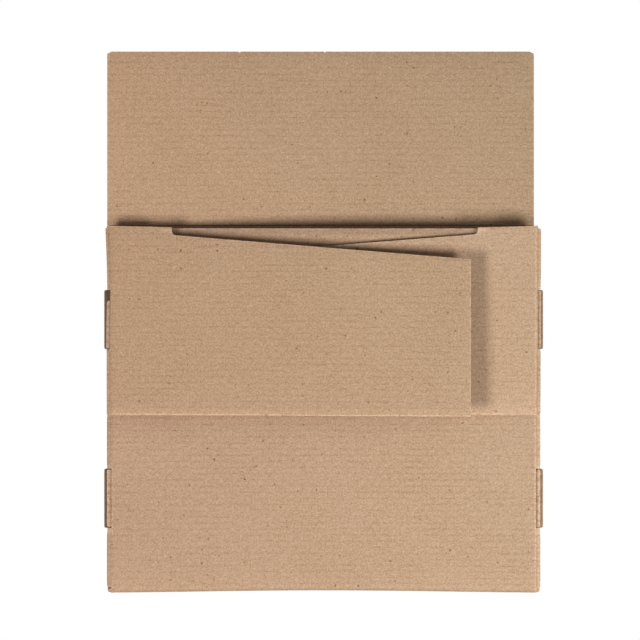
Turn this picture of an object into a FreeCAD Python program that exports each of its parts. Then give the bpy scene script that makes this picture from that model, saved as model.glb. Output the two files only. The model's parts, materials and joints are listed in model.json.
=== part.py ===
import FreeCAD, Part
import math
import os

# A one-piece carton blank of thin corrugated board, folded flat and lying on its back.
# Millimetres. X runs across the blank, Y along it from the bottom fold to the closing panel, Z up.
# The origin is under the middle of the folded blank, on the surface it lies on.

# Board
board = 1.5
layer_gap = 0.3
hinge_gap = 0.15

# Panels, in the order they follow each other along the sheet
blank_width = 238.6
front_lower_height = 97.7
back_lower_height = 105.0
back_upper_height = 97.3
closing_height = 95.9
closing_width = 235.3
closing_shift = -1.7
closing_corner = 1.2

# The front upper panel springs up from its crease, and stops short of the closing crease
front_rise_deg = 2.5
closing_clearance = 0.4
flap_overhang = 1.4

# Long end flaps of the front upper panel, each folded a little out of true
end_flap_length = 200.5
left_root_length = 36.2
right_root_length = 34.8
end_flap_root_taper = 0.8
end_flap_step = 4.2
end_flap_step_radius = 2.4
end_flap_tip_drop = 14.0
end_flap_bottom_gap = 0.5
left_flap_lift_deg = 4.8

# Short inner flaps, folded in between the layers at both sides
inner_flap_length = 60.0
inner_flap_corner = 12.0
inner_flap_end_gap = 1.6
inner_flap_crease_gap = 0.3

# Slots cut across the side folds, each with the tabs that they leave
slot_length = 32.7
slot_depth = 2.6
upper_slot_from_crease = 52.8
lower_slot_from_fold = 52.0
tab_end_gap = 0.3
tab_corner = 1.2
front_tab_reach = 0.0
back_tab_reach = 1.6

# Places that follow from the sizes above
fold_radius = board + layer_gap / 2
stack_height = 4 * board + 3 * layer_gap
bottom_fold_radius = stack_height / 2
fold_centre_x = blank_width / 2 - fold_radius
bottom_y = -(back_lower_height + back_upper_height + closing_height) / 2
bottom_fold_y = bottom_y + bottom_fold_radius
front_crease_y = bottom_y + front_lower_height
back_crease_y = bottom_y + back_lower_height
closing_crease_y = back_crease_y + back_upper_height
top_y = closing_crease_y + closing_height
front_rise = math.radians(front_rise_deg)
end_flap_height = (closing_crease_y - closing_clearance - front_crease_y) / math.cos(front_rise)
front_upper_height = end_flap_height - flap_overhang
lower_slot_y = bottom_y + lower_slot_from_fold
upper_slot_y = front_crease_y + upper_slot_from_crease * math.cos(front_rise)
back_flap_z = board + layer_gap
front_flap_z = 2 * (board + layer_gap)
front_z = stack_height - board
overlap = 0.2


def box(x0, x1, y0, y1, z0, z1):
    return Part.makeBox(x1 - x0, y1 - y0, z1 - z0, FreeCAD.Vector(x0, y0, z0))


def prism(points, z0, thickness):
    corners = [FreeCAD.Vector(x, y, z0) for x, y in points]
    outline = Part.makePolygon(corners + corners[:1])
    return Part.Face(outline).extrude(FreeCAD.Vector(0, 0, thickness))


def round_upright_edges(shape, radius, places):
    """Round the upright edges of a plate that stand at the given places."""
    edges = []
    for edge in shape.Edges:
        middle = edge.CenterOfMass
        upright = edge.BoundBox.XLength + edge.BoundBox.YLength < 1e-6
        if upright and any(math.hypot(middle.x - x, middle.y - y) < 1e-3 for x, y in places):
            edges.append(edge)
    return shape.makeFillet(radius, edges)


def mirrored(shape):
    return shape.mirror(FreeCAD.Vector(0, 0, 0), FreeCAD.Vector(1, 0, 0))


def half_round_fold(y0, y1, centre_z):
    """The board going round half a turn at the right side, back over itself."""
    centre = FreeCAD.Vector(fold_centre_x, y0, centre_z)
    along = FreeCAD.Vector(0, 1, 0)
    outer = Part.makeCylinder(fold_radius, y1 - y0, centre, along)
    inner = Part.makeCylinder(fold_radius - board, y1 - y0, centre, along)
    low = centre_z - fold_radius
    high = centre_z + fold_radius
    kept = box(fold_centre_x, blank_width / 2, y0, y1, low, high)
    return outer.cut(inner).common(kept)


def slot_cut(slot_y, depth, z0, z1):
    half = slot_length / 2
    edge = blank_width / 2
    return box(edge - depth, edge + board, slot_y - half, slot_y + half, z0, z1)


def slotted(panel, slot_places, z0, z1):
    """A panel with the slots of both its side folds cut a little way into it."""
    for slot_y in slot_places:
        notch = slot_cut(slot_y, slot_depth, z0, z1)
        panel = panel.cut(notch).cut(mirrored(notch))
    return panel


def slot_tab(slot_y, reach, z0):
    """The tab that stays in one layer where its fold has a slot across it."""
    half = slot_length / 2 - tab_end_gap
    inner = blank_width / 2 - slot_depth - overlap
    outer = blank_width / 2 + reach
    tab = box(inner, outer, slot_y - half, slot_y + half, z0, z0 + board)
    return round_upright_edges(tab, tab_corner, [(outer, slot_y - half), (outer, slot_y + half)])


def inner_flap(y0, y1, z0):
    """A plain flap folded in at the right side, with slanted free corners."""
    root = fold_centre_x + overlap / 2
    tip = blank_width / 2 - inner_flap_length
    slant_start = root - inner_flap_corner
    slant = inner_flap_corner / 2
    points = [(root, y0), (root, y1), (slant_start, y1), (tip, y1 - slant)]
    points += [(tip, y0 + slant), (slant_start, y0)]
    return prism(points, z0, board)


def back_side_folds():
    """The folds, inner flaps and protruding tabs of the two back panels, at the right side."""
    lower = (bottom_y + inner_flap_end_gap, back_crease_y - inner_flap_crease_gap)
    upper = (back_crease_y + inner_flap_crease_gap, closing_crease_y - inner_flap_end_gap)
    pieces = []
    for (y0, y1), slot_y in ((lower, lower_slot_y), (upper, upper_slot_y)):
        fold = half_round_fold(y0, y1, fold_radius)
        pieces.append(fold.cut(slot_cut(slot_y, slot_depth, 0, 2 * fold_radius)))
        pieces.append(inner_flap(y0, y1, back_flap_z))
        pieces.append(slot_tab(slot_y, back_tab_reach, back_flap_z))
    return pieces


def front_side_fold():
    """The fold, inner flap and tab of the front lower panel, at the right side."""
    y0 = bottom_y + inner_flap_end_gap
    y1 = front_crease_y - inner_flap_crease_gap
    fold = half_round_fold(y0, y1, stack_height - fold_radius)
    fold = fold.cut(slot_cut(lower_slot_y, slot_depth, front_flap_z, stack_height))
    return [fold, inner_flap(y0, y1, front_flap_z), slot_tab(lower_slot_y, front_tab_reach, front_flap_z)]


def back_and_front_panels():
    """The back panels, the bottom fold and the front lower panel as one bent sheet."""
    x0 = -fold_centre_x
    x1 = fold_centre_x
    back = box(x0, x1, bottom_fold_y, closing_crease_y - hinge_gap, 0, board)
    back = slotted(back, [lower_slot_y, upper_slot_y], 0, board)
    front = box(x0, x1, bottom_fold_y, front_crease_y, front_z, stack_height)
    front = slotted(front, [lower_slot_y], front_z, stack_height)
    centre = FreeCAD.Vector(x0, bottom_fold_y, bottom_fold_radius)
    along = FreeCAD.Vector(1, 0, 0)
    outer = Part.makeCylinder(bottom_fold_radius, x1 - x0, centre, along)
    inner = Part.makeCylinder(bottom_fold_radius - board, x1 - x0, centre, along)
    bend = outer.cut(inner).common(box(x0, x1, bottom_y, bottom_fold_y, 0, stack_height))
    return [back, bend, front]


def end_flap_plate(root_x, root_length, base_z):
    """A long end flap as a flat plate: x from its fold towards its tip, y up from the crease."""
    low = end_flap_bottom_gap
    root_top = end_flap_height
    shoulder = root_top - end_flap_root_taper
    step = shoulder - end_flap_step
    tip_top = step - end_flap_tip_drop
    points = [(root_x, low), (end_flap_length, low), (end_flap_length, tip_top)]
    points += [(root_length, step), (root_length, shoulder), (root_x, root_top)]
    plate = prism(points, base_z, board)
    return round_upright_edges(plate, end_flap_step_radius, [(root_length, step)])


def quarter_round(centre_x, centre_z, keep_z0, keep_z1):
    """A quarter of a rod along y, left of its centre, that rounds off a board's end at a hinge."""
    low = end_flap_bottom_gap
    length = front_upper_height - low
    centre = FreeCAD.Vector(centre_x, low, centre_z)
    rod = Part.makeCylinder(board, length, centre, FreeCAD.Vector(0, 1, 0))
    return rod.common(box(centre_x - board, centre_x, low, low + length, keep_z0, keep_z1))


def right_end_flap():
    """The right end flap in the frame of the front upper panel, folded over onto it."""
    plate = mirrored(end_flap_plate(fold_radius - overlap / 2, right_root_length, layer_gap))
    plate.translate(FreeCAD.Vector(blank_width / 2, 0, 0))
    fold = half_round_fold(end_flap_bottom_gap, front_upper_height, layer_gap / 2)
    slot = slot_cut(upper_slot_from_crease, fold_radius, -board, board + layer_gap)
    return [plate.cut(slot), fold.cut(slot)]


def front_upper_panel():
    """The front upper panel in its own frame: its crease on y = 0, its outer face on z = 0."""
    left_x = -blank_width / 2 + hinge_gap + board
    panel = box(left_x, fold_centre_x, -overlap, front_upper_height, -board, 0)
    left_end = quarter_round(left_x, 0, -board, 0)
    left_tab = mirrored(slot_tab(upper_slot_from_crease, -hinge_gap, -board))
    right_tab = slot_tab(upper_slot_from_crease, front_tab_reach, -board)
    return [panel, left_end, left_tab, right_tab] + right_end_flap()


def raised(shape):
    """Move a shape from the frame of the front upper panel to its place, sloping up."""
    moved = shape.copy()
    moved.rotate(FreeCAD.Vector(0, 0, 0), FreeCAD.Vector(1, 0, 0), front_rise_deg)
    moved.translate(FreeCAD.Vector(0, front_crease_y, stack_height))
    return moved


def folded_blank():
    right_side = back_side_folds() + front_side_fold()
    left_side = [mirrored(piece) for piece in right_side]
    upper = [raised(piece) for piece in front_upper_panel()]
    pieces = back_and_front_panels() + right_side + left_side + upper
    return pieces[0].multiFuse(pieces[1:]).removeSplitter()


def left_end_flap():
    """The free flap that lies on top, hinged along the left side of the front upper panel."""
    centre_x = hinge_gap + board
    centre_z = layer_gap / 2
    plate = end_flap_plate(centre_x, left_root_length, centre_z)
    rounded = quarter_round(centre_x, centre_z, centre_z, centre_z + board)
    half = slot_length / 2
    low = upper_slot_from_crease - half
    slot = box(0, fold_radius + layer_gap, low, low + slot_length, 0, fold_radius + board)
    flap = plate.fuse(rounded).cut(slot).removeSplitter()
    flap.rotate(FreeCAD.Vector(0, 0, 0), FreeCAD.Vector(0, 1, 0), -left_flap_lift_deg)
    flap.translate(FreeCAD.Vector(-blank_width / 2, 0, layer_gap / 2))
    return raised(flap)


def closing_panel():
    """The last panel of the sheet, which lies flat beyond the front panels."""
    x0 = closing_shift - closing_width / 2
    x1 = closing_shift + closing_width / 2
    y0 = closing_crease_y + hinge_gap
    cut = closing_corner
    points = [(x0, y0), (x1, y0), (x1, top_y - cut), (x1 - 2 * cut, top_y)]
    points += [(x0 + 2 * cut, top_y), (x0, top_y - cut)]
    return prism(points, 0, board)


def main():
    os.makedirs("parts", exist_ok=True)
    folded_blank().exportStep("parts/folded_blank.step")
    left_end_flap().exportStep("parts/left_end_flap.step")
    closing_panel().exportStep("parts/closing_panel.step")


main()
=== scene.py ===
import json
import math

import bmesh
import bpy
import numpy as np
from mathutils import Matrix, Vector


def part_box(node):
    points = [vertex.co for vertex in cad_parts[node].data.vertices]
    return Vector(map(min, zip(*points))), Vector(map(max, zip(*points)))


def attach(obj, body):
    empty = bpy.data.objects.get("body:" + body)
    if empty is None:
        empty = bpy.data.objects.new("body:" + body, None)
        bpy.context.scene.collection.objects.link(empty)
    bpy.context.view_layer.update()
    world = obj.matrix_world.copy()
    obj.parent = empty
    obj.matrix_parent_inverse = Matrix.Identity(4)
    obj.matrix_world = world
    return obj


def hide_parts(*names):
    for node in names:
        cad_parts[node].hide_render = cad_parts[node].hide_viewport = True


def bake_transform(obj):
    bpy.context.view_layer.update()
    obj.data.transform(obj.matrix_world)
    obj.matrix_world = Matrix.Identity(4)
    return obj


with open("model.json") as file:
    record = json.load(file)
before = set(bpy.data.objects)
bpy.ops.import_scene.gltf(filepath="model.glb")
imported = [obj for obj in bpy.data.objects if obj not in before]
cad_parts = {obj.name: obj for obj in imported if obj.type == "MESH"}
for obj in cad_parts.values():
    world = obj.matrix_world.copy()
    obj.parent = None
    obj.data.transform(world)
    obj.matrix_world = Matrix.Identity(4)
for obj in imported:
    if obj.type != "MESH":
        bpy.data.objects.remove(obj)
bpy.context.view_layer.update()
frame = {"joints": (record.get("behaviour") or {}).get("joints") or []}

# Lengths are millimetres here, and become metres where a mesh is made.
MM = 0.001

# Board: two paper liners with a fluted medium between them, flutes running across the blank
BOARD = 1.5
GAP = 0.3
LINER = 0.24
MEDIUM = 0.16
FLUTE_PITCH = 3.4
FLUTE_STEPS = 10
CRUSH_DEPTH = 0.30
CRUSH_WIDTH = 0.9
MOST_THINNING = 0.42
# Width of the pale band along cut edges: partly scuffed fibres, partly painted highlight
EDGE_WEAR_AND_HIGHLIGHT_WIDTH = 0.6

# Scores: how deep and wide they press the board, and how much painted shade (or painted highlight, below 0)
# they put on the paper
SCORE_DEPTH = 0.34
SCORE_WIDTH = 0.32
CREASE_DEPTH = 0.35
CREASE_WIDTH = 0.9
TAB_ROOT_DEPTH = 0.42
TAB_ROOT_WIDTH = 0.45
TAB_ROOT_SHADE = 2.2
LEFT_FOLD_SHADE = 0.35
RIDGE_WEAR_AND_HIGHLIGHT = -1.0

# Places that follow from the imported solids
JOINTS = {joint["name"]: joint for joint in frame["joints"]}
FLAP_HINGE = JOINTS["left_flap_hinge"]
CLOSING_HINGE = JOINTS["closing_panel_hinge"]
BLANK_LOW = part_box("folded_blank")[0] / MM
CLOSING_LOW, CLOSING_HIGH = [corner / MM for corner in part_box("closing_panel")]
HALF_WIDTH = -FLAP_HINGE["pos_m"][0] / MM
RISE = math.atan2(-FLAP_HINGE["axis"][2], -FLAP_HINGE["axis"][1])
CLOSING_CREASE = CLOSING_HINGE["pos_m"][1] / MM
STACK = 4 * BOARD + 3 * GAP
FRONT_CREASE = FLAP_HINGE["pos_m"][1] / MM + math.sin(RISE) * GAP / 2
FOLD_RADIUS = BOARD + GAP / 2
FOLD_MID = FOLD_RADIUS - BOARD / 2
FOLD_CENTRE = HALF_WIDTH - FOLD_RADIUS
FOLD_TURN = math.pi * FOLD_MID
BOTTOM_RADIUS = STACK / 2
BOTTOM_MID = BOTTOM_RADIUS - BOARD / 2
BOTTOM_TURN = math.pi * BOTTOM_MID / 2
BOTTOM_FOLD = BLANK_LOW.y + BOTTOM_RADIUS

# Sizes that the solids share with the pieces here
BACK_LOWER_HEIGHT = 105.0
CLOSING_CLEARANCE = 0.4
FLAP_OVERHANG = 1.4
BACK_CREASE = BLANK_LOW.y + BACK_LOWER_HEIGHT
FLAP_HEIGHT = (CLOSING_CREASE - CLOSING_CLEARANCE - FRONT_CREASE) / math.cos(RISE)
FRONT_HEIGHT = FLAP_HEIGHT - FLAP_OVERHANG
FLAP_BOTTOM = 0.5
FLAP_TIP = 200.5
FLAP_TAPER = 0.8
LEFT_STEP = 4.15
RIGHT_STEP = 3.65
FLAP_STEP_RADIUS = 2.4
FLAP_TIP_DROP = 12.9
LEFT_ROOT = 36.2
RIGHT_ROOT = 34.8
INNER_FLAP = 60.0
INNER_CORNER = 12.0
SLOT_LENGTH = 32.7
SLOT_HALF = SLOT_LENGTH / 2
SLOT_DEPTH = 2.6
UPPER_SLOT = 52.8
LOWER_SLOT = 52.0
TAB_REACH = 1.6
FLAP_LIFT = math.radians(4.8)
CLOSING_CORNER = 1.2
CLOSING_NICKS = (0.75, -46.4)

# How the sheet lies out of true, and over what reach
BOTTOM_BOW = 1.2
LEAN_OUT, LEAN_OUT_REACH = 0.55, 10
LEAN_IN, LEAN_IN_REACH, LEAN_IN_PLACE = 0.5, 18, 66
FLAP_SAG, FLAP_SAG_REACH, FLAP_SAG_PLACE = 2.2, 13, -97
PANEL_DIP, PANEL_DIP_REACH, PANEL_DIP_PLACE = 2.0, 22, -82
PANEL_RISE, PANEL_RISE_LENGTH, PANEL_RISE_START = 3.6, 110, -80
FLAP_SPRING, FLAP_SPRING_REACH, FLAP_SPRING_SLOPE = 1.2, 14, 0.0035

# Room that the boards leave at the two hinges, which a strip of the outer liner covers
FOLD_ROOM = 0.85
FOLD_LAP = 0.4
FOLD_BEND = 0.8
SKIN_PROUD = 0.03
CREASE_REACH = 1.2

# How finely the flat panels are cut, so that they can bend
PANEL_STEP = 9
ALONG_STEP = 7

# Where the folds and creases lie along the flat sheet
FRONT_END = BOTTOM_TURN + FRONT_CREASE - BOTTOM_FOLD
APEX = FOLD_CENTRE + FOLD_TURN / 2
BEYOND_FOLD = FOLD_CENTRE + FOLD_TURN
CREASE_END = FOLD_CENTRE + 0.45


def hump(gap, reach):
    """1 where gap is 0, falling smoothly to nearly 0 at twice the reach."""
    return np.exp(-(gap / reach) ** 2)


# Flat patches: an outline in flat sheet coordinates, cut into faces fine enough to bend

def spread(start, end, size):
    """Evenly spaced places between start and end, no further apart than size."""
    count = max(1, math.ceil(abs(end - start) / size))
    return [start + (end - start) * i / count for i in range(1, count)]


def arc(centre, radius, first_deg, last_deg, count=6):
    angles = [math.radians(first_deg + (last_deg - first_deg) * i / count) for i in range(count + 1)]
    return [(centre[0] + radius * math.cos(a), centre[1] + radius * math.sin(a)) for a in angles]


def across(places):
    return [((place, 0), (1, 0)) for place in places]


def along(places):
    return [((0, place), (0, 1)) for place in places]


def beside_edges(outline, offsets=(0.35, 0.8, 1.5)):
    """Lines just inside each long cut edge, where the board thins towards it."""
    lines = []
    for a, b in zip(outline, outline[1:] + outline[:1]):
        length = math.hypot(b[0] - a[0], b[1] - a[1])
        if length < 2.5:
            continue
        normal = (-(b[1] - a[1]) / length, (b[0] - a[0]) / length)
        for offset in offsets:
            for side in (1, -1):
                lines.append(((a[0] + side * offset * normal[0], a[1] + side * offset * normal[1]), normal))
    return lines


def rectangle(sides):
    u0, u1, s0, s1 = sides
    return [(u0, s0), (u1, s0), (u1, s1), (u0, s1)]


def flat_patch(outline, lines, holes=()):
    """The outline as a flat mesh cut along the lines, without its holes: points, faces and rim."""
    for u0, u1, s0, s1 in holes:
        lines = lines + across([u0, u1]) + along([s0, s1])
    bm = bmesh.new()
    bm.faces.new([bm.verts.new((u, s, 0)) for u, s in outline])
    for place, normal in lines:
        geometry = bm.verts[:] + bm.edges[:] + bm.faces[:]
        bmesh.ops.bisect_plane(bm, geom=geometry, dist=2e-3, plane_co=(*place, 0), plane_no=(*normal, 0))
    inside = []
    for face in bm.faces:
        middle = face.calc_center_median()
        if any(u0 < middle.x < u1 and s0 < middle.y < s1 for u0, u1, s0, s1 in holes):
            inside.append(face)
    bmesh.ops.delete(bm, geom=inside, context="FACES")
    bm.normal_update()
    if sum(face.normal.z for face in bm.faces) < 0:
        bmesh.ops.reverse_faces(bm, faces=bm.faces[:])
    bm.verts.index_update()
    points = np.array([vert.co[:2] for vert in bm.verts])
    faces = [[vert.index for vert in face.verts] for face in bm.faces]
    rim = [(loop.vert.index, loop.link_loop_next.vert.index)
           for edge in bm.edges if len(edge.link_faces) == 1 for loop in edge.link_loops]
    bm.free()
    return points, faces, rim


def distance_to(points, a, b):
    a = np.array(a)
    reach = np.array(b) - a
    share = np.clip((points - a) @ reach / max(reach @ reach, 1e-12), 0, 1)
    gap = points - a - share[:, None] * reach
    return np.hypot(gap[:, 0], gap[:, 1])


def distance_to_cuts(points, cuts):
    """How far each flat point lies from the nearest cut edge."""
    nearest = np.full(len(points), 1e9)
    for a, b in cuts:
        nearest = np.minimum(nearest, distance_to(points, a, b))
    return nearest


def edges_of(outline):
    return list(zip(outline, outline[1:] + outline[:1]))


class Pile:
    """Points and faces gathered for one mesh, with the sheet coordinates that the paper follows.

    Its paper has a tint: tone is how light it is, which carries painted light and painted shade per piece,
    the tilt of its lightness across the blank is painted light that changes from left to right, and blue
    its blue against its green. The last argument is how pale its cut edges are, partly scuffed fibres and
    partly painted highlight.
    """

    def __init__(self, shift=(0, 0), tone=1.0, painted_light_slant=0.0, blue=1.0, wear_and_highlight_share=1.0):
        self.shift = np.array(shift)
        self.shade = (tone, painted_light_slant, blue)
        self.wear_and_highlight_share = wear_and_highlight_share
        self.places = []
        self.flat = []
        self.edge_wear_and_highlight = []
        self.crease = []
        self.faces = []
        self.count = 0

    def add_shell(self, patch, upper, lower, edge_wear_and_highlight, crease):
        """A closed thin sheet between two mapped surfaces over one flat patch."""
        points, faces, rim = patch
        first = self.count
        second = first + len(points)
        self.places += [upper, lower]
        self.flat += [points + self.shift, points + self.shift]
        self.edge_wear_and_highlight += [edge_wear_and_highlight, edge_wear_and_highlight]
        self.crease += [crease, crease]
        self.faces += [[first + i for i in face] for face in faces]
        self.faces += [[second + i for i in reversed(face)] for face in faces]
        self.faces += [[first + b, first + a, second + a, second + b] for a, b in rim]
        self.count = second + len(points)

    def tint(self):
        """The paper is a little warmer on the left of the blank than on the right; its lightness carries
        painted light and painted shade, set per piece and changing across the blank.
        """
        tone, painted_light_slant, blue = self.shade
        side = np.concatenate(self.places)[:, 0] / HALF_WIDTH
        green = tone + painted_light_slant * side
        return np.stack([green * (0.995 - 0.032 * side), green, green * blue], axis=-1)

    def make(self, name, smooth_deg=40):
        mesh = bpy.data.meshes.new(name)
        mesh.from_pydata((np.concatenate(self.places) * MM).tolist(), [], self.faces)
        flat = np.concatenate(self.flat) * MM
        corners = np.zeros(len(mesh.loops), np.int32)
        mesh.loops.foreach_get("vertex_index", corners)
        mesh.uv_layers.new(name="sheet").data.foreach_set("uv", flat[corners].astype(np.float32).ravel())
        # Per-point masks: pale cut edges (partly scuffed fibres, partly painted highlight) and the scores'
        # painted shade and painted highlight
        for kind, shares in (("edge_wear_and_highlight", self.edge_wear_and_highlight), ("crease", self.crease)):
            layer = mesh.attributes.new(kind, "FLOAT", "POINT")
            layer.data.foreach_set("value", np.concatenate(shares).astype(np.float32))
        tint = mesh.attributes.new("tint", "FLOAT_VECTOR", "POINT")
        tint.data.foreach_set("vector", self.tint().astype(np.float32).ravel())
        mesh.shade_smooth()
        mesh.set_sharp_from_angle(angle=math.radians(smooth_deg))
        piece = bpy.data.objects.new(name, mesh)
        bpy.context.scene.collection.objects.link(piece)
        mesh.materials.append(CARD)
        return piece


def add_board(pile, outline, mapping, lines, holes=(), scores=(), uncut=(), fluted=True):
    """A patch of board: both liners, and the fluted medium between them.

    Each score is a line from a to b on the flat sheet, with its depth, width and shade: painted shade, or
    painted highlight where the shade is below 0.
    """
    cuts = [edge for edge in edges_of(outline) if edge not in uncut]
    for hole in holes:
        cuts += edges_of(rectangle(hole))

    def half_thickness(points):
        gap = distance_to_cuts(points, cuts)
        thin = CRUSH_DEPTH * hump(gap, CRUSH_WIDTH)
        # The scores' painted shade, and painted highlight below 0, gathered with how far they thin the
        # board
        crease = gap * 0
        for a, b, depth, width, shade in scores:
            pressed_in = hump(distance_to(points, a, b), width)
            thin = thin + depth * pressed_in
            crease = crease + shade * pressed_in
        return BOARD / 2 - np.minimum(thin, MOST_THINNING), gap, crease

    patch = flat_patch(outline, lines + beside_edges(outline), holes)
    half, gap, crease = half_thickness(patch[0])
    # Cut edges turn pale: partly scuffed fibres, partly painted highlight where crushed edges catch the
    # light
    edge_wear_and_highlight = pile.wear_and_highlight_share * hump(gap, EDGE_WEAR_AND_HIGHLIGHT_WIDTH)
    u, s = patch[0].T
    pile.add_shell(patch, mapping(u, s, half), mapping(u, s, half - LINER), edge_wear_and_highlight, crease)
    pile.add_shell(patch, mapping(u, s, LINER - half), mapping(u, s, -half), edge_wear_and_highlight, crease)
    if fluted:
        low = min(s for u, s in outline)
        high = max(s for u, s in outline)
        waves = along(spread(low, high, FLUTE_PITCH / FLUTE_STEPS))
        patch = flat_patch(outline, waves + [line for line in lines if line[1] == (1, 0)], holes)
        half, gap, crease = half_thickness(patch[0])
        u, s = patch[0].T
        wave = (half - LINER - MEDIUM / 2) * np.sin(2 * math.pi * s / FLUTE_PITCH)
        upper, lower = mapping(u, s, wave + MEDIUM / 2), mapping(u, s, wave - MEDIUM / 2)
        pile.add_shell(patch, upper, lower, u * 0, u * 0)


# Mappings from the flat sheet to its folded place: u across, s along, n out of the outer face

def folded_side(u, n, inwards):
    """Across a panel and round its side folds: the place across, and the height over the panel."""
    side = np.sign(u)
    beyond = np.maximum(np.abs(u) - FOLD_CENTRE, 0)
    angle = np.minimum(beyond / FOLD_MID, math.pi)
    rest = np.maximum(beyond - FOLD_TURN, 0)
    turn = -1 if inwards else 1
    reach = FOLD_MID - turn * n
    x = np.where(beyond > 0, side * (FOLD_CENTRE + reach * np.sin(angle) - rest), u)
    height = np.where(beyond > 0, turn * (FOLD_MID - reach * np.cos(angle)), n)
    return x, height


def bottom_bow(x):
    """The bottom fold is drawn in a little towards the middle, where no inner flap holds it out."""
    return BOTTOM_BOW * np.cos(np.clip(x / HALF_WIDTH, -1, 1) * math.pi / 2) ** 1.5


def pressed(x, y, z):
    """The layers lie closer together along the front crease."""
    gap = y - FRONT_CREASE
    press = 0.09 * hump(gap, 13) + 0.045 * hump(gap, 3.5)
    return np.stack([x, y, z - press * np.minimum(z, STACK)], axis=-1)


def lower_sheet(u, s, n):
    """The back panels, the bottom fold and the front lower panel. s is 0 on the bottom fold."""
    x, height = folded_side(u, n, inwards=True)
    angle = np.clip(s / BOTTOM_MID, -math.pi / 2, math.pi / 2)
    rest = np.maximum(np.abs(s) - BOTTOM_TURN, 0)
    y = BOTTOM_FOLD - (BOTTOM_MID + height) * np.cos(angle) + rest
    z = BOTTOM_RADIUS + (BOTTOM_MID + height) * np.sin(angle)
    return pressed(x, y + bottom_bow(x) * np.exp(-rest / 25), z)


def side_lean(x, y):
    """How far the left fold leans out of line: out at its free end, and in above the slot."""
    share = np.clip((-x - 80) / 40, 0, 1)
    lean = LEAN_OUT * hump(y - FLAP_HEIGHT, LEAN_OUT_REACH)
    lean = lean - LEAN_IN * hump(y - LEAN_IN_PLACE, LEAN_IN_REACH)
    return -lean * share ** 2


def towards_free_edge(y):
    """0 at the front crease, rising to 1 at the front upper panel's free edge."""
    return np.clip(y / FRONT_HEIGHT, 0, 1) ** 2


def flap_sag(x, y):
    """The root of the left flap hangs a little low along its free edge."""
    return -FLAP_SAG * hump(x - FLAP_SAG_PLACE, FLAP_SAG_REACH) * towards_free_edge(y)


def front_twist(x, y):
    """The front upper panel is twisted: low beside the root of the left flap, and high on the right."""
    rise = np.clip((x - PANEL_RISE_START) / PANEL_RISE_LENGTH, 0, 1)
    twist = PANEL_RISE * rise * rise * (3 - 2 * rise)
    twist = twist - PANEL_DIP * hump(x - PANEL_DIP_PLACE, PANEL_DIP_REACH)
    return twist * towards_free_edge(y)


def raise_front(x, y, z):
    """From the frame of the front upper panel to its place, sloping up from the crease."""
    cos, sin = math.cos(RISE), math.sin(RISE)
    x = x + side_lean(x, y)
    return pressed(x, FRONT_CREASE + y * cos - z * sin, STACK + y * sin + z * cos)


def front_sheet(u, s, n):
    """The front upper panel and its right end flap. s is 0 on the front crease."""
    x, height = folded_side(u, n, inwards=False)
    beyond = np.maximum(u - BEYOND_FOLD, 0)
    spring = FLAP_SPRING * (1 - np.exp(-beyond / FLAP_SPRING_REACH)) * np.clip(s / 40, 0, 1)
    spring = spring + FLAP_SPRING_SLOPE * beyond
    return raise_front(x, s, height - BOARD / 2 + spring + front_twist(x, s))


def front_tab(u, s, n):
    return raise_front(u, s, n - BOARD / 2 + front_twist(u, s))


def lifted(x, y, z, share=1.0):
    """Turn a place beside the front upper panel about the left hinge, up to where that flap lies."""
    lift = FLAP_LIFT * share
    lift_x, lift_z = x + HALF_WIDTH, z - GAP / 2
    turned_x = lift_x * np.cos(lift) - lift_z * np.sin(lift) - HALF_WIDTH
    turned_z = lift_x * np.sin(lift) + lift_z * np.cos(lift) + GAP / 2
    return raise_front(turned_x, y, turned_z)


def left_flap_sheet(u, s, n):
    x, height = folded_side(u, n, inwards=False)
    return lifted(x, s, height - BOARD / 2 + flap_sag(x, s))


def left_fold_skin(u, s, n):
    """The paper that goes round the tip of the left fold, from the front panel to the left end flap."""
    x, height = folded_side(u, n, inwards=False)
    share = np.clip((-u - APEX) / FOLD_BEND + 0.5, 0, 1)
    return lifted(x, s, height - BOARD / 2, share)


def closing_sheet(u, s, n):
    """The closing panel, flat on the table: s runs on from the closing crease, inner face up."""
    return np.stack([u, s, BOARD / 2 - n + 0 * s], axis=-1)


def level_tab(level):
    return lambda u, s, n: pressed(u, s, level + n)


# Card material

CARD_COLOUR = (0.540, 0.352, 0.224)
GRAIN_COLOUR = (0.45, 0.39, 0.32)
# Colour of the pale cut edges: partly scuffed fibres, partly painted highlight
WORN_AND_LIT_COLOUR = (0.67, 0.465, 0.315)
# How strongly the scores' painted shade and painted highlight change the paper's colour
PAINTED_SHADE_STRENGTH = 0.22


class Nodes:
    """Small helper that adds and links shader nodes."""

    def __init__(self, material):
        self.tree = material.node_tree
        self.tree.nodes.clear()

    def add(self, kind, inputs=None, **settings):
        node = self.tree.nodes.new(kind)
        for key, value in settings.items():
            setattr(node, key, value)
        for key, value in (inputs or {}).items():
            if isinstance(value, bpy.types.NodeSocket):
                self.tree.links.new(value, node.inputs[key])
            else:
                node.inputs[key].default_value = value
        return node

    def math(self, operation, first, second=0.0, third=0.0):
        return self.add("ShaderNodeMath", {0: first, 1: second, 2: third}, operation=operation).outputs[0]

    def scaled(self, vector, scale):
        return self.add("ShaderNodeVectorMath", {0: vector, 1: scale}, operation="MULTIPLY").outputs[0]

    def dimmed(self, vector, share):
        return self.add("ShaderNodeVectorMath", {0: vector, "Scale": share}, operation="SCALE").outputs[0]

    def noise(self, vector, scale, detail=2.0, roughness=0.5, distortion=0.0):
        inputs = {"Vector": vector, "Scale": scale, "Detail": detail,
                  "Roughness": roughness, "Distortion": distortion}
        return self.add("ShaderNodeTexNoise", inputs).outputs["Fac"]

    def ramp(self, value, low, high, out_low, out_high):
        inputs = {"Value": value, "From Min": low, "From Max": high,
                  "To Min": out_low, "To Max": out_high}
        return self.add("ShaderNodeMapRange", inputs, interpolation_type="SMOOTHSTEP").outputs[0]


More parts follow.
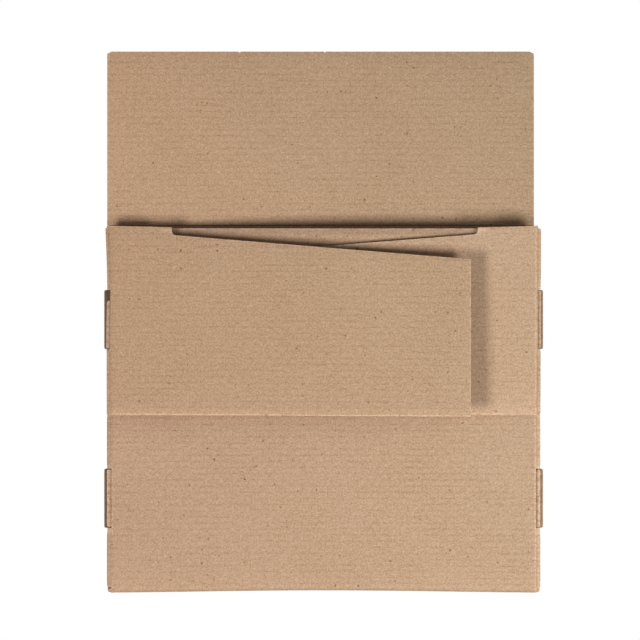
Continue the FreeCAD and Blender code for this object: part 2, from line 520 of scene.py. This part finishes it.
def flecks(nodes, sheet, scale, size, share):
    """1 inside scattered flecks of the paper, 0 elsewhere."""
    warp = nodes.noise(sheet, scale * 5, 1.0)
    cells = nodes.add("ShaderNodeTexVoronoi", {"Vector": sheet, "Scale": scale, "Randomness": 1.0})
    pick = nodes.add("ShaderNodeSeparateColor", {0: cells.outputs["Color"]})
    radius = nodes.math("MULTIPLY", pick.outputs[0], size * scale)
    radius = nodes.math("MULTIPLY", radius, nodes.ramp(warp, 0.35, 0.65, 0.5, 1.5))
    inside = nodes.math("SUBTRACT", 1.0, nodes.math("DIVIDE", cells.outputs["Distance"], radius))
    inside = nodes.ramp(inside, 0.0, 0.5, 0.0, 1.0)
    return nodes.math("MULTIPLY", inside, nodes.math("LESS_THAN", pick.outputs[1], share))


def flute_lines(nodes, sheet):
    """Faint lines over the flutes, painted as shade where the flutes press the liner in: their dashes, 1 on
    a line, and the wave.
    """
    parts = nodes.add("ShaderNodeSeparateXYZ", {0: sheet})
    row = nodes.math("DIVIDE", parts.outputs[1], FLUTE_PITCH * MM)
    index = nodes.math("FLOOR", row)
    place = nodes.math("SUBTRACT", row, index)
    ridge = nodes.math("ABSOLUTE", nodes.math("SUBTRACT", place, 0.5))
    line = nodes.ramp(ridge, 0.02, 0.16, 1.0, 0.0)
    along_row = nodes.math("MULTIPLY", parts.outputs[0], 55.0)
    row_seed = nodes.math("MULTIPLY", index, 7.3)
    spot = nodes.add("ShaderNodeCombineXYZ", {0: along_row, 1: row_seed}).outputs[0]
    dashes = nodes.ramp(nodes.noise(spot, 1.0, 3.0, 0.6), 0.42, 0.62, 0.0, 1.0)
    wave = nodes.math("COSINE", nodes.math("MULTIPLY", place, 2 * math.pi))
    return nodes.math("MULTIPLY", line, dashes), wave


def mixed(nodes, factor, first, second):
    node = nodes.add("ShaderNodeMix", data_type="RGBA")
    nodes.tree.links.new(factor, node.inputs["Factor"])
    node.inputs[6].default_value = (*first, 1)
    node.inputs[7].default_value = (*second, 1)
    return node.outputs[2]


def card_material(name):
    """Unprinted kraft paper: mottled fibres, dark and pale flecks, faint lines over the flutes."""
    material = bpy.data.materials.new(name)
    material.use_nodes = True
    nodes = Nodes(material)
    sheet = nodes.add("ShaderNodeUVMap", uv_map="sheet").outputs[0]
    cloud = nodes.noise(sheet, 22, 3.0, 0.55)
    mottle = nodes.noise(nodes.scaled(sheet, (0.7, 1.0, 1.0)), 420, 2.0, 0.5, 0.3)
    grain = nodes.noise(sheet, 1150, 2.0, 0.6, 0.4)
    lines, wave = flute_lines(nodes, sheet)
    dark = flecks(nodes, sheet, 300, 0.0008, 0.30)
    pale = flecks(nodes, nodes.scaled(sheet, (1.0, 1.13, 1.0)), 340, 0.0008, 0.25)

    tone = nodes.ramp(cloud, 0.3, 0.7, -0.02, 0.02)
    patches = nodes.ramp(mottle, 0.3, 0.7, -1, 1)
    grains = nodes.ramp(grain, 0.3, 0.7, -1, 1)
    # The flute lines and the wave darken and lighten the paper as painted shade of its washboard; the
    # cloud, patches, grain and flecks are the paper's own
    for change, amount in ((patches, 0.05), (grains, 0.195), (lines, -0.105), (wave, 0.012),
                           (dark, -0.50), (pale, 0.18)):
        tone = nodes.math("MULTIPLY_ADD", change, amount, tone)

    # Pale cut edges: partly scuffed fibres, partly painted highlight where the crushed edges catch the
    # light
    edge_wear_and_highlight = nodes.add("ShaderNodeAttribute", attribute_name="edge_wear_and_highlight").outputs["Fac"]
    worn_and_lit_mask = nodes.math("MULTIPLY", edge_wear_and_highlight, nodes.ramp(mottle, 0.35, 0.6, 0.2, 1.0))
    base = mixed(nodes, worn_and_lit_mask, CARD_COLOUR, WORN_AND_LIT_COLOUR)
    grained = nodes.dimmed(GRAIN_COLOUR, tone)
    colour = nodes.add("ShaderNodeVectorMath", {0: base, 1: grained}, operation="ADD").outputs[0]
    # Painted shade along the scores, and painted highlight where their shade is below 0
    crease = nodes.add("ShaderNodeAttribute", attribute_name="crease").outputs["Fac"]
    colour = nodes.dimmed(colour, nodes.math("MULTIPLY_ADD", crease, -PAINTED_SHADE_STRENGTH, 1.0))
    # The tint carries each piece's painted light and painted shade, and the paper's warmth
    tint = nodes.add("ShaderNodeAttribute", attribute_name="tint").outputs["Vector"]
    colour = nodes.scaled(colour, tint)

    height = nodes.math("MULTIPLY_ADD", mottle, 0.5, nodes.math("MULTIPLY", grain, 0.3))
    height = nodes.math("MULTIPLY_ADD", wave, 0.12, height)
    bump = nodes.add("ShaderNodeBump", {"Height": height, "Strength": 0.35, "Distance": 0.00008})
    rough = nodes.ramp(mottle, 0.3, 0.7, 0.82, 0.94)
    shader = nodes.add("ShaderNodeBsdfPrincipled", {"Base Color": colour, "Roughness": rough,
                                                    "Normal": bump.outputs[0], "Specular IOR Level": 0.25})
    nodes.add("ShaderNodeOutputMaterial", {"Surface": shader.outputs[0]})
    return material


CARD = card_material("kraft_board")


# Pieces

def fold_lines():
    """Cuts close enough together to bend the board round both side folds."""
    gaps = (0, 0.2, 0.4, 0.65, 0.9, 1.2, 1.5, 1.9, 2.4)
    bend = [FOLD_CENTRE - gap for gap in gaps] + [BEYOND_FOLD + gap for gap in gaps]
    bend += spread(FOLD_CENTRE, BEYOND_FOLD, FOLD_TURN / 12)
    return across(bend + [-u for u in bend])


def crease_lines(crease):
    """Cuts closer together near a crease across the panels."""
    gaps = (0.4, 0.9, 1.5, 2.3, 3.4, 5, 7, 10, 14)
    return along([crease + side * gap for side in (-1, 1) for gap in gaps])


def mirrored(points):
    return [(-u, s) for u, s in reversed(points)]


def inner_flap_outline(low, high):
    """The right edge of the sheet round an inner flap, from its lower to its higher end."""
    root = BEYOND_FOLD + INNER_CORNER
    tip = BEYOND_FOLD + INNER_FLAP - FOLD_RADIUS
    painted_light_slant = INNER_CORNER / 2
    return [(CREASE_END, low), (root, low), (tip, low + painted_light_slant), (tip, high - painted_light_slant), (root, high),
            (CREASE_END, high)]


def painted_light_score(a, b, width, shade):
    """A score that only paints shade on the paper, or a painted highlight where its shade is below 0."""
    return a, b, 0.0, width, shade


def side_slot(s, depth, beyond):
    """The hole that a slot s along the sheet cuts through the right side fold."""
    return (HALF_WIDTH - depth, BEYOND_FOLD + beyond, s - SLOT_HALF, s + SLOT_HALF)


def both_sides(hole):
    u0, u1, s0, s1 = hole
    return [hole, (-u1, -u0, s0, s1)]


def back_place(y):
    """Where a place on the back panels lies along the flat sheet."""
    return -(BOTTOM_TURN + y - BOTTOM_FOLD)


def lower_layers():
    """The back panels, the bottom fold and the front lower panel, with their inner flaps and slots.

    The left corner of the bottom fold has a small nick.
    """
    end = back_place(CLOSING_CREASE - 0.15)
    right = [(CREASE_END, end)]
    right += inner_flap_outline(back_place(CLOSING_CREASE - 1.6), back_place(BACK_CREASE + 0.3))
    right += inner_flap_outline(back_place(BACK_CREASE - 0.3), 1.0 - BOTTOM_TURN)[:-1]
    corner = FOLD_CENTRE + 1.15
    right += [(corner, 1.0 - BOTTOM_TURN), (corner, BOTTOM_TURN - 1.0)]
    nick = [(FOLD_CENTRE + 0.9, BOTTOM_TURN - 1.1), (FOLD_CENTRE - 0.9, BOTTOM_TURN - 0.9),
            (FOLD_CENTRE - 0.9, BOTTOM_TURN - 0.1), (FOLD_CENTRE + 1.0, BOTTOM_TURN + 0.1)]
    left = right + nick
    front_flap = inner_flap_outline(BOTTOM_TURN - 1.0, FRONT_END - 0.3)[1:]
    front_flap.append((CREASE_END, FRONT_END))
    right += front_flap
    left += [(front_flap[0][0], BOTTOM_TURN + 0.1)] + front_flap[1:]
    outline = mirrored(left) + right
    slot_inner = FOLD_CENTRE - (HALF_WIDTH - SLOT_DEPTH)
    lower_slot = BLANK_LOW.y + LOWER_SLOT
    upper_slot = FRONT_CREASE + UPPER_SLOT * math.cos(RISE)
    front_slot = BOTTOM_TURN + lower_slot - BOTTOM_FOLD
    holes = []
    for place in (front_slot, back_place(lower_slot), back_place(upper_slot)):
        holes += both_sides(side_slot(place, SLOT_DEPTH, slot_inner))
    back_crease = back_place(BACK_CREASE)
    # The creases across the panels, with a little painted shade in their grooves
    scores = [((-FOLD_CENTRE, FRONT_END), (FOLD_CENTRE, FRONT_END), CREASE_DEPTH, CREASE_WIDTH, 0.1),
              ((-FOLD_CENTRE, back_crease), (FOLD_CENTRE, back_crease), CREASE_DEPTH, CREASE_WIDTH, 0.3)]
    scores += side_scores(back_place(CLOSING_CREASE), FRONT_END, left_groove=0.3, right_groove=0.0,
                          right_rim=-2.0)
    # Painted shade on the front lower panel just below the front crease, and painted highlight along the
    # bottom fold where it turns towards the lamps
    scores.append(painted_light_score((-FOLD_CENTRE, FRONT_END - 1), (FOLD_CENTRE - 50, FRONT_END - 1), 9.0, 0.35))
    scores.append(painted_light_score((-FOLD_CENTRE, BOTTOM_TURN), (FOLD_CENTRE, BOTTOM_TURN), 6.0, -0.2))
    lines = fold_lines() + crease_lines(FRONT_END) + crease_lines(back_crease)
    lines += along(spread(-BOTTOM_TURN, BOTTOM_TURN, BOTTOM_TURN / 9) + [-BOTTOM_TURN, BOTTOM_TURN])
    lines += along(spread(end, -BOTTOM_TURN, PANEL_STEP) + spread(BOTTOM_TURN, FRONT_END, ALONG_STEP))
    lines += across(spread(-FOLD_CENTRE, FOLD_CENTRE, PANEL_STEP))
    # The lower layers' tone and their lightness growing to the right are painted light
    pile = Pile(tone=1.01, painted_light_slant=0.02, blue=1.005)
    front_edge = (outline[-1], outline[0])
    add_board(pile, outline, lower_sheet, lines, holes, scores, uncut=[front_edge], fluted=False)
    return pile.make("lower_layers")


def side_scores(low, high, left_groove, right_groove, right_rim):
    """The pressed lines along both sides of each side fold, with painted shade in the groove, a raised
    ridge on either hand and a painted band on the rounded rim: on the right the ridge is paler, partly
    scuffed fibres and partly painted highlight, and the rim has painted highlight; on the left ridge and
    rim have painted shade.
    """
    scores = []
    sides = ((-1, left_groove, LEFT_FOLD_SHADE, LEFT_FOLD_SHADE), (1, right_groove, RIDGE_WEAR_AND_HIGHLIGHT, right_rim))
    for side, groove, ridge_shade, rim_shade in sides:
        for place, away in ((FOLD_CENTRE - 0.1, -1), (BEYOND_FOLD + 0.1, 1)):
            ridge = place + away * 1.0
            rim = place - away * 1.1
            scores.append(((side * place, low), (side * place, high), SCORE_DEPTH, SCORE_WIDTH, groove))
            scores.append(((side * ridge, low), (side * ridge, high), -0.06, 0.6, ridge_shade))
            scores.append(painted_light_score((side * rim, low), (side * rim, high), 0.7, rim_shade))
    return scores


def end_flap_outline(start, root_length, step_height, corner):
    """The edge of a long right end flap, from its lower corner at the fold round to its upper one."""
    def at(x):
        return BEYOND_FOLD + x - FOLD_RADIUS

    shoulder = FLAP_HEIGHT - FLAP_TAPER
    step = shoulder - step_height
    tip_top = step - FLAP_TIP_DROP
    slope = FLAP_TIP_DROP / (FLAP_TIP - root_length)
    points = [(start, FLAP_BOTTOM), (at(FLAP_TIP), FLAP_BOTTOM), (at(FLAP_TIP), tip_top)]
    centre = (at(root_length) + FLAP_STEP_RADIUS, step - FLAP_STEP_RADIUS * slope + FLAP_STEP_RADIUS)
    points += arc(centre, FLAP_STEP_RADIUS, 270, 180)
    return points + [(at(root_length), shoulder)] + corner


def front_upper_layers():
    """The front upper panel with its right end flap folded over onto it, and its own tabs."""
    corner = [(BEYOND_FOLD + 1.2, FLAP_HEIGHT), (BEYOND_FOLD - 0.4, FRONT_HEIGHT - 0.5),
              (FOLD_CENTRE, FRONT_HEIGHT)]
    right = end_flap_outline(FOLD_CENTRE, RIGHT_ROOT, RIGHT_STEP, corner)
    left = -(APEX - FOLD_ROOM)
    outline = [(left, 0.0), (FOLD_CENTRE, 0.0)] + right + [(left, FRONT_HEIGHT)]
    low, high = UPPER_SLOT - SLOT_HALF, UPPER_SLOT + SLOT_HALF
    holes = [(FOLD_CENTRE, BEYOND_FOLD, low, high), (left - 1, -FOLD_CENTRE, low, high)]
    flap_end = BEYOND_FOLD + FLAP_TIP
    lines = fold_lines() + crease_lines(0) + along(spread(0, FLAP_HEIGHT, ALONG_STEP))
    lines += across(spread(-FOLD_CENTRE, FOLD_CENTRE, PANEL_STEP))
    lines += across(spread(BEYOND_FOLD, flap_end, PANEL_STEP))
    # The front crease, with a little painted shade in its groove
    scores = [((left, 0), (FOLD_CENTRE, 0), CREASE_DEPTH, CREASE_WIDTH, 0.1)]
    scores += side_scores(FLAP_BOTTOM, FRONT_HEIGHT, left_groove=0.3, right_groove=1.0, right_rim=-1.0)
    # Painted shade along the free edge of the front upper panel, and painted highlight along the lower edge
    # of the right end flap and on the band above it
    scores.append(painted_light_score((left, FRONT_HEIGHT), (FOLD_CENTRE - 10, FRONT_HEIGHT), 5.0, 0.9))
    scores.append(painted_light_score((BEYOND_FOLD, FLAP_BOTTOM + 1), (flap_end, FLAP_BOTTOM + 1), 2.5, -0.2))
    scores.append(painted_light_score((BEYOND_FOLD, FLAP_BOTTOM), (flap_end, FLAP_BOTTOM), 9.0, -0.35))
    # A lighter tone for the front upper layers: painted light
    pile = Pile((0, FRONT_END), tone=1.045, blue=1.005)
    add_board(pile, outline, front_sheet, lines, holes, scores, uncut=[(outline[0], outline[1])])
    # The right tab of the front upper panel gets a painted highlight
    add_tab(pile, 1, FOLD_CENTRE, HALF_WIDTH, low + 0.4, high - 0.4, front_tab, shade=-0.3)
    add_tab(pile, -1, FOLD_CENTRE, HALF_WIDTH + 0.3, low + 0.4, high - 6.0, front_tab, 0)
    return pile.make("front_upper_layers")


def add_tab(pile, side, inner, outer, low, high, mapping, root_depth=TAB_ROOT_DEPTH, shade=0.0):
    """A tab with rounded free corners, straight out of the board's edge."""
    radius = min(1.1, outer - inner - 0.3)
    points = [(inner, low)] + arc((outer - radius, low + radius), radius, 270, 360)
    points += arc((outer - radius, high - radius), radius, 0, 90) + [(inner, high)]
    if side < 0:
        points = mirrored(points)
    root = [edge for edge in edges_of(points) if abs(edge[0][0]) == inner and abs(edge[1][0]) == inner]
    gaps = [gap for gap in (0.2, 0.4, 0.65, 1.0, 1.5, 2.1) if gap < outer - inner - 0.2]
    lines = across([side * (inner + gap) for gap in gaps])
    # The root of a tab is pressed in and darkened as painted shade, where the gap under the slot's edge
    # lies
    scores = [(*edge, root_depth, TAB_ROOT_WIDTH, TAB_ROOT_SHADE) for edge in root]
    # Painted shade across the whole tab, or painted highlight where its shade is below 0
    middle = side * (inner + outer) / 2
    scores.append(painted_light_score((middle, low), (middle, high), 4.0, shade))
    add_board(pile, points, mapping, lines, scores=scores, uncut=root)


def slot_tabs():
    """The tabs of the inner flaps, which stick out through the side slots."""
    pile = Pile((310, 40))
    inner = HALF_WIDTH - SLOT_DEPTH
    lower_slot = BLANK_LOW.y + LOWER_SLOT
    upper_slot = FRONT_CREASE + UPPER_SLOT * math.cos(RISE)
    back_level = BOARD + GAP + BOARD / 2
    front_level = back_level + BOARD + GAP
    for side in (-1, 1):
        # The back-level tabs lie deep in the slots and get painted shade, heavier on the left; the
        # front-level tabs get a painted highlight
        shade = 1.1 if side > 0 else 3.2
        low, high = lower_slot - SLOT_HALF, lower_slot + SLOT_HALF
        add_tab(pile, side, inner, HALF_WIDTH, low + 0.5, high - 0.5, level_tab(front_level), shade=-0.5)
        for slot in (lower_slot, upper_slot):
            add_tab(pile, side, inner, HALF_WIDTH + TAB_REACH, slot - SLOT_HALF, slot + SLOT_HALF,
                    level_tab(back_level), 0, shade)
    return pile.make("slot_tabs")


def left_flap():
    """The left end flap, free on top of everything."""
    start = APEX + FOLD_ROOM
    corner = [(start + 0.5, FLAP_HEIGHT), (start, FLAP_HEIGHT - 0.4)]
    right = end_flap_outline(start, LEFT_ROOT, LEFT_STEP, corner)
    outline = mirrored(right)
    hole = (-(BEYOND_FOLD + GAP), -(start - 1), UPPER_SLOT - SLOT_HALF, UPPER_SLOT + SLOT_HALF)
    flap_end = BEYOND_FOLD + FLAP_TIP
    lines = fold_lines() + crease_lines(0) + along(spread(0, FLAP_HEIGHT, ALONG_STEP))
    lines += across([-u for u in spread(BEYOND_FOLD, flap_end, PANEL_STEP)])
    scores = side_scores(FLAP_BOTTOM, FRONT_HEIGHT, left_groove=0.3, right_groove=0.0, right_rim=0.0)
    # Painted highlight along the lower cut edge of the left end flap and just above it
    scores.append(painted_light_score((-BEYOND_FOLD, FLAP_BOTTOM + 1), (-flap_end, FLAP_BOTTOM + 1), 2.5, -0.4))
    scores.append(painted_light_score((-FOLD_CENTRE, FLAP_BOTTOM + 0.2), (-flap_end, FLAP_BOTTOM + 0.2), 0.6, -0.6))
    # A darker tone for the left end flap: painted shade
    pile = Pile((-120, FRONT_END + 31), tone=0.955, blue=0.963)
    add_board(pile, outline, left_flap_sheet, lines, [hole], scores, uncut=[(outline[-1], outline[0])])
    return pile.make("left_flap_board")


def closing_outline():
    """The closing panel with its cut corners, and the two small nicks in its free edge."""
    low, high, cut = CLOSING_LOW, CLOSING_HIGH, CLOSING_CORNER
    points = [(low.x, low.y), (high.x, low.y), (high.x, high.y - cut), (high.x - 2 * cut, high.y)]
    for place in CLOSING_NICKS:
        points += [(place + 0.7, high.y), (place + 0.2, high.y - 0.45), (place - 0.3, high.y - 0.45),
                   (place - 0.6, high.y)]
    points += [(low.x + 2 * cut, high.y), (low.x, high.y - cut)]
    return points


def closing_board():
    """The closing panel, which lies out flat beyond the front panels."""
    outline = closing_outline()
    lines = across(spread(CLOSING_LOW.x, CLOSING_HIGH.x, 12))
    lines += along(spread(CLOSING_LOW.y, CLOSING_HIGH.y, 12))
    # The closing panel grows darker towards the right as painted shade; its cut edges are only a little
    # pale
    pile = Pile((37, 620), tone=1.02, painted_light_slant=-0.04, blue=0.965, wear_and_highlight_share=0.3)
    add_board(pile, outline, closing_sheet, lines, uncut=[(outline[0], outline[1])])
    return pile.make("closing_board")


def fold_skin():
    """The outer liner round the tip of the left fold, shaped to the flap at rest."""
    pile = Pile((0, FRONT_END), tone=0.98, blue=0.98)
    left, right = -(APEX + FOLD_ROOM + FOLD_LAP), -(APEX - FOLD_ROOM - FOLD_LAP)
    lines = across(spread(left, right, 0.14))
    outer = -BOARD / 2 - SKIN_PROUD
    for low, high in ((FLAP_BOTTOM, UPPER_SLOT - SLOT_HALF), (UPPER_SLOT + SLOT_HALF, FRONT_HEIGHT)):
        outline = rectangle((left, right, low, high))
        patch = flat_patch(outline, lines + along(spread(low, high, ALONG_STEP)))
        u, s = patch[0].T
        upper, lower = left_fold_skin(u, s, outer + LINER), left_fold_skin(u, s, outer)
        pile.add_shell(patch, upper, lower, u * 0, u * 0)
    return pile.make("left_fold_skin")


def crease_skin():
    """The outer liner under the closing crease, lying flat with the closing panel."""
    pile = Pile((37, 620))
    low, high = CLOSING_CREASE - CREASE_REACH, CLOSING_CREASE + CREASE_REACH
    left, right = CLOSING_LOW.x, CLOSING_HIGH.x
    outline = rectangle((left, right, low, high))
    patch = flat_patch(outline, along(spread(low, high, 0.15)) + across(spread(left, right, 12)))
    u, s = patch[0].T
    outer = BOARD / 2 - 0.005
    pile.add_shell(patch, closing_sheet(u, s, outer), closing_sheet(u, s, outer - LINER), u * 0, u * 0)
    return pile.make("closing_crease_skin")


def build_pieces():
    lower = lower_layers()
    front = front_upper_layers()
    tabs = slot_tabs()
    flap = left_flap()
    closing = closing_board()
    for piece in (lower, front, tabs):
        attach(piece, "root")
        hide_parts("folded_blank")
    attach(flap, "left_flap")
    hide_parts("left_end_flap")
    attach(closing, "closing")
    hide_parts("closing_panel")
    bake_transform(fold_skin())
    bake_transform(crease_skin())


# Stage: the photograph's camera, two soft lamps at the near side, and a white floor. In metres.

FLOOR_SIZE = 40
FLOOR_DROP = 0.0002
FLOOR_COLOUR = (0.85, 0.85, 0.85, 1)
WHITE = (1, 1, 1, 1)
AMBIENT = 0.179
CAMERA_PLACE = (-0.002, 0.00107, 2.503)
CAMERA_LENS = 255.2

# Each lamp's name, place, watts, width and length. All point at the origin.
LAMPS = (("lamp_left", (-0.671, -0.379, 1.050), 9.52, 0.35, 0.46),
         ("lamp_right", (0.405, -0.170, 0.500), 2.13, 0.165, 0.22))


def stage_material():
    material = bpy.data.materials.new("white_floor")
    material.use_nodes = True
    nodes = Nodes(material)
    path = nodes.add("ShaderNodeLightPath")
    pale = nodes.add("ShaderNodeBsdfDiffuse", {"Color": FLOOR_COLOUR})
    white = nodes.add("ShaderNodeEmission", {"Color": WHITE, "Strength": 1.0})
    shown = nodes.add("ShaderNodeMixShader", {0: path.outputs["Is Camera Ray"], 1: pale.outputs[0],
                                             2: white.outputs[0]})
    nodes.add("ShaderNodeOutputMaterial", {"Surface": shown.outputs[0]})
    return material


def add_floor():
    bpy.ops.mesh.primitive_plane_add(size=FLOOR_SIZE, location=(0, 0, -FLOOR_DROP))
    floor = bpy.context.object
    floor.name = "floor"
    floor.data.materials.append(stage_material())


def add_world():
    """An even dim light, which the camera sees as white."""
    world = bpy.data.worlds.new("studio")
    world.use_nodes = True
    nodes = world.node_tree.nodes
    nodes.clear()
    path = nodes.new("ShaderNodeLightPath")
    strength = nodes.new("ShaderNodeMix")
    strength.inputs[2].default_value = AMBIENT
    strength.inputs[3].default_value = 1.0
    background = nodes.new("ShaderNodeBackground")
    out = nodes.new("ShaderNodeOutputWorld")
    world.node_tree.links.new(path.outputs["Is Camera Ray"], strength.inputs[0])
    world.node_tree.links.new(strength.outputs[0], background.inputs["Strength"])
    world.node_tree.links.new(background.outputs[0], out.inputs[0])
    bpy.context.scene.world = world


def add_lamps():
    for name, place, watts, width, length in LAMPS:
        light = bpy.data.lights.new(name, "AREA")
        light.shape = "RECTANGLE"
        light.size = width
        light.size_y = length
        light.energy = watts
        lamp = bpy.data.objects.new(name, light)
        back = Vector(place).normalized()
        side = Vector((0, 1, 0)).cross(back).normalized()
        lamp.matrix_world = Matrix((side, back.cross(side), back)).transposed().to_4x4()
        lamp.location = place
        bpy.context.scene.collection.objects.link(lamp)


def add_camera():
    camera_data = bpy.data.cameras.new("camera")
    camera_data.lens = CAMERA_LENS
    camera_data.clip_end = 100
    camera = bpy.data.objects.new("camera", camera_data)
    camera.location = CAMERA_PLACE
    bpy.context.scene.collection.objects.link(camera)
    bpy.context.scene.camera = camera
    bpy.context.scene.view_settings.view_transform = "Standard"


build_pieces()
add_floor()
add_world()
add_lamps()
add_camera()
